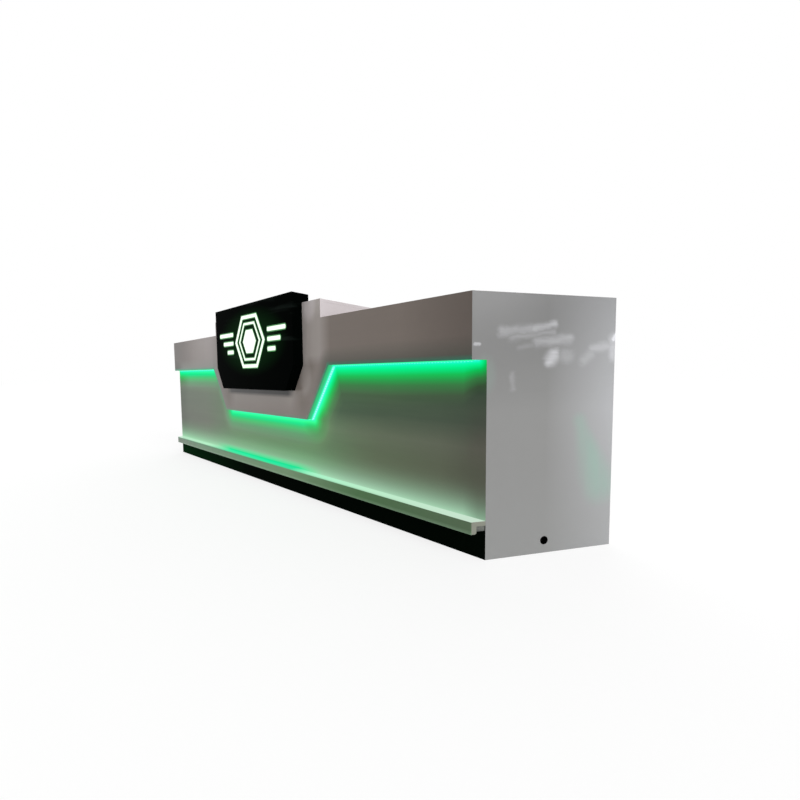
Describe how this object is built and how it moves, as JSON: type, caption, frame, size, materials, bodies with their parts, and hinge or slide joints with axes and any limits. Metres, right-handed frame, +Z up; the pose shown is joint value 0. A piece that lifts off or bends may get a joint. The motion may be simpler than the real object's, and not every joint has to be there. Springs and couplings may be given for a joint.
{
  "type": "illuminated service counter",
  "caption": "Long shop counter with splayed ends, a raised centre, a fascia that drops in the middle under a hooked sign, light strips, a foot ledge, and cupboards and drawers behind.",
  "frame": {"origin": "on the floor, at the centre of the counter's bounding box", "axes": "+X along the counter to the customer's right, -Y towards the customer, +Z up"},
  "size_m": [4.1704, 0.612, 1.26],
  "materials": {
    "fascia_lacquer": "high-gloss grey-taupe lacquer on board",
    "panel_lacquer": "high-gloss grey lacquer on board",
    "ledge_lacquer": "high-gloss white lacquer on board",
    "kick_board": "satin black laminate",
    "carcass_board": "matt white melamine",
    "worktop_board": "satin grey laminate",
    "batten_wood": "bare softwood",
    "light_strip": "milky cover, lit green",
    "sign_sheet": "gloss black paint",
    "sign_acrylic": "gloss black acrylic",
    "opal_acrylic": "opal",
    "light_bar": "satin",
    "steel": "brushed",
    "zinc_plate": "bright zinc plate",
    "switch_plastic": "gloss white",
    "driver_case": "matt anodised"
  },
  "bodies": {
    "counter": {"end_panel_left": "panel_lacquer", "end_panel_right": "panel_lacquer", "fascia_panel": "fascia_lacquer", "band_returns": "fascia_lacquer", "diagonal_returns": "fascia_lacquer", "drop_return": "fascia_lacquer", "band_light_strips": "light_strip", "diagonal_light_strips": "light_strip", "drop_light_strip": "light_strip", "front_panel": "panel_lacquer", "toe_kick": "kick_board", "ledge": "ledge_lacquer", "ledge_batten": "batten_wood", "counter_top_left": "worktop_board", "counter_top_right": "worktop_board", "counter_top_centre": "carcass_board", "raised_top": "worktop_board", "tall_dividers": "carcass_board", "centre_divider": "carcass_board", "end_dividers": "carcass_board", "pigeonhole_upright": "carcass_board", "base_board": "carcass_board", "rear_plinth": "kick_board", "plinth_ribs": "carcass_board", "rear_fillers": "carcass_board", "cupboard_shelves": "carcass_board", "bay_shelves": "carcass_board", "shelf_supports": "zinc_plate", "sign_case": "sign_sheet", "sign_face": "sign_acrylic", "sign_diffuser": "opal_acrylic", "sign_light_bars": "light_bar", "fixed_hinge_leaves": "steel", "hinge_pins": "steel", "runner_channels": "zinc_plate", "switch_plate": "switch_plastic", "light_driver": "driver_case"},
    "door_1": {"door_1": "carcass_board", "door_1_hinge_leaves": "steel", "door_1_pull": "steel"},
    "door_2": {"door_2": "carcass_board", "door_2_hinge_leaves": "steel", "door_2_pull": "steel"},
    "door_3": {"door_3": "carcass_board", "door_3_hinge_leaves": "steel", "door_3_pull": "steel"},
    "door_4": {"door_4": "carcass_board", "door_4_hinge_leaves": "steel", "door_4_pull": "steel"},
    "drawer_1": {"drawer_1_front": "carcass_board", "drawer_1_box": "carcass_board", "drawer_1_pull": "steel", "drawer_1_runner_bars": "zinc_plate"},
    "drawer_2": {"drawer_2_front": "carcass_board", "drawer_2_box": "carcass_board", "drawer_2_pull": "steel", "drawer_2_runner_bars": "zinc_plate"},
    "rocker": {"switch_rocker": "switch_plastic"}
  },
  "joints": [
    {"name": "door_1_hinge", "type": "hinge", "parent": "counter", "child": "door_1", "pos_m": [-1.3895, 0.273, 0.6], "axis": [0, 0, 1], "range_deg": [0, 90]},
    {"name": "door_2_hinge", "type": "hinge", "parent": "counter", "child": "door_2", "pos_m": [-0.7055, 0.273, 0.6], "axis": [0, 0, -1], "range_deg": [0, 90]},
    {"name": "door_3_hinge", "type": "hinge", "parent": "counter", "child": "door_3", "pos_m": [0.7055, 0.273, 0.6], "axis": [0, 0, 1], "range_deg": [0, 90]},
    {"name": "door_4_hinge", "type": "hinge", "parent": "counter", "child": "door_4", "pos_m": [1.3895, 0.273, 0.6], "axis": [0, 0, -1], "range_deg": [0, 90]},
    {"name": "drawer_1_slide", "type": "slide", "parent": "counter", "child": "drawer_1", "axis": [0, 1, 0], "range_m": [0, 0.3]},
    {"name": "drawer_2_slide", "type": "slide", "parent": "counter", "child": "drawer_2", "axis": [0, 1, 0], "range_m": [0, 0.3]},
    {"name": "rocker_pivot", "type": "hinge", "parent": "counter", "child": "rocker", "pos_m": [1.71859, 0.278, 0.95], "axis": [1, 0, 0], "range_deg": [-10, 0]}
  ]
}
